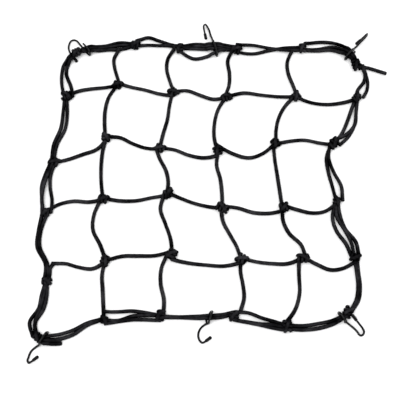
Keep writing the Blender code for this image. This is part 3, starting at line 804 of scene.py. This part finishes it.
def build_net():
    """The four pieces of cord that stand for the net: mesh, border, short runs and knots."""
    material = braided_cord_material()
    places = {row[0]: (row[1], row[2]) for row in KNOTS}
    places.update({row[0]: (row[1], row[2]) for row in BRANCHES})
    mesh_cords = [cord_route(places, start, end, offsets, 0.0) for start, end, *offsets in MESH_CORDS]
    border_cords = [cord_route(places, start, end, offsets, rise)
                    for start, end, *offsets, rise in BORDER_CORDS]
    cut_ends = []
    for _, points in SHORT_RUNS:
        run = smooth_route(points, RUN_STEPS)
        cut_ends.append([Vector((x, y, CORD_REST + max(lift, wire_lift(x, y)))) for x, y, lift in run])
    rng = random.Random(KNOT_SEED)
    wraps = []
    for row in KNOTS:
        wraps.append(knot_route(row, rng))
        wraps.append(back_route(row, rng))
    pieces = (
        ("mesh_cords", mesh_cords, CORD_RADIUS, CORD_UNEVEN),
        ("border_cords", border_cords, BORDER_RADIUS, CORD_UNEVEN),
        ("cut_ends", cut_ends, CORD_RADIUS, 0.0),
        ("knot_wraps", wraps, WRAP_RADIUS, WRAP_UNEVEN),
    )
    for name, routes, radius, uneven in pieces:
        mesh = tube_mesh(name, routes, radius, CORD_SIDES, uneven)
        add_piece(name, mesh, material, "net")


def eye_legs(inner, outer, sides, over_leg, passes):
    """The eye's two legs, from the inside of the net outwards: over the cords and under them."""
    inner, outer = Vector(inner), Vector(outer)
    out = (outer - inner).normalized()
    beside = Vector((-out.y, out.x))
    at_bend, at_outer = sides
    at_end = math.copysign(min(abs(at_outer), EYE_END_SIDE), at_outer)

    def at(base, along, aside, z):
        point = base + out * along + beside * aside
        return point.x, point.y, z

    over = [at(inner, along, 0, z) for along, z in EYE_RISE]
    over.append(at(outer, EYE_LEVEL[0], 0, EYE_LEVEL[1]))
    bend = [at(inner, along, share * at_bend, z) for along, share, z in EYE_BEND]
    under = [at(inner, EYE_UNDER[0], EYE_UNDER[1] * at_bend, WIRE_REST)]
    under.append(at((inner + outer) / 2, 0, (at_bend + at_outer) / 2, WIRE_REST))
    if over_leg == "shank":
        over += [at(outer, along, 0, z) for along, z in SHANK_OVER]
        under.append(at(outer, passes - END_CLOSES, at_outer, WIRE_REST))
        under.append(at(outer, passes, at_end, WIRE_REST))
    else:
        for along, drop in zip((0, passes), END_OVER_DROPS):
            over.append(at(outer, along, 0, EYE_TOP_Z - drop))
        under.append(at(outer, SHANK_UNDER_PASSES, at_end, WIRE_REST))
    return over, bend, under


def cap_axis(hook):
    """Way the hook's last straight leg points."""
    return (Vector(hook[-1]) - Vector(hook[-2])).normalized()


def wire_end(hook):
    """End of the wire inside the cap, whose rounded tip is the J's last point."""
    return Vector(hook[-1]) - cap_axis(hook) * CAP_WALL


def hook_route(row):
    """Centre line of a hook's wire, from its free end through the eye and the J into the cap."""
    _, inner, outer, sides, over_leg, passes, hook = row
    over, bend, under = eye_legs(inner, outer, sides, over_leg, passes)
    if over_leg == "shank":
        eye = under[::-1] + bend[::-1] + over
    else:
        eye = over[::-1] + bend + under
    route = smooth_route(eye + list(hook[:-1]), WIRE_STEPS)
    for point in route:
        point.z = max(point.z, WIRE_RADIUS)
    return route + [wire_end(hook)]


def cap_profile():
    """Radius and height over the wire's end, from the rounded tip down to the soft lip."""
    mouth = CAP_WALL - CAP_LENGTH
    profile = [(0.0, CAP_WALL)]
    for step in range(1, CAP_ROUND_STEPS + 1):
        angle = math.pi / 2 * step / CAP_ROUND_STEPS
        profile.append((CAP_RADIUS * math.sin(angle), CAP_WALL - CAP_ROUND + CAP_ROUND * math.cos(angle)))
    profile += list(CAP_SIDE)
    profile += [(CAP_RADIUS + wider, mouth + z) for wider, z in CAP_LIP]
    profile += [(WIRE_RADIUS, mouth + CAP_INSIDE), (0.0, mouth + CAP_INSIDE)]
    return profile


def build_cap(row, material):
    name, hook = row[0], row[-1]
    mesh = turned_mesh("cap_" + name, cap_profile(), CAP_SIDES)
    turn = cap_axis(hook).to_track_quat("Z", "Y").to_matrix().to_4x4()
    mesh.transform(Matrix.Translation(wire_end(hook) * MM) @ turn)
    add_piece("cap_" + name, mesh, material, "tip_" + name)


def build_hooks():
    wire = wire_material()
    cap = cap_material()
    for row in HOOKS:
        mesh = tube_mesh("wire_" + row[0], [hook_route(row)], WIRE_RADIUS, WIRE_SIDES)
        add_piece("wire_" + row[0], mesh, wire, "hook_" + row[0])
        build_cap(row, cap)


# ---------------------------------------------------------------- stage, light and camera

def build_floor():
    """Level square floor under the net."""
    mesh = bpy.data.meshes.new("floor")
    corners = [(x * FLOOR_HALF, y * FLOOR_HALF, 0) for x, y in ((-1, -1), (1, -1), (1, 1), (-1, 1))]
    mesh.from_pydata(corners, [], [(0, 1, 2, 3)])
    mesh.materials.append(floor_material())
    floor = bpy.data.objects.new("floor", mesh)
    bpy.context.scene.collection.objects.link(floor)


def build_light():
    """White surroundings and two square lamps that point at the net."""
    world = bpy.data.worlds.new("studio")
    world.use_nodes = True
    background = world.node_tree.nodes["Background"]
    background.inputs["Color"].default_value = (1.0, 1.0, 1.0, 1.0)
    background.inputs["Strength"].default_value = WORLD_STRENGTH
    bpy.context.scene.world = world
    for name, place, size, power in LAMPS:
        light = bpy.data.lights.new(name, "AREA")
        light.size = size
        light.energy = power
        lamp = bpy.data.objects.new(name, light)
        lamp.location = place
        lamp.rotation_euler = (-Vector(place)).to_track_quat("-Z", "Y").to_euler()
        bpy.context.scene.collection.objects.link(lamp)


def build_camera():
    """Camera at the front, looking down on the net."""
    elevation = math.radians(CAMERA_ELEVATION)
    camera = bpy.data.cameras.new("camera")
    camera.lens = CAMERA_LENS
    camera.sensor_width = CAMERA_SENSOR
    view = bpy.data.objects.new("camera", camera)
    away = Vector((0, -math.cos(elevation), math.sin(elevation)))
    view.location = Vector(CAMERA_TARGET) + away * CAMERA_DISTANCE
    view.rotation_euler = (-away).to_track_quat("-Z", "Y").to_euler()
    bpy.context.scene.collection.objects.link(view)
    bpy.context.scene.camera = view


def main():
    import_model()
    bpy.context.scene.view_settings.view_transform = "Standard"
    build_net()
    build_hooks()
    build_floor()
    build_light()
    build_camera()


main()
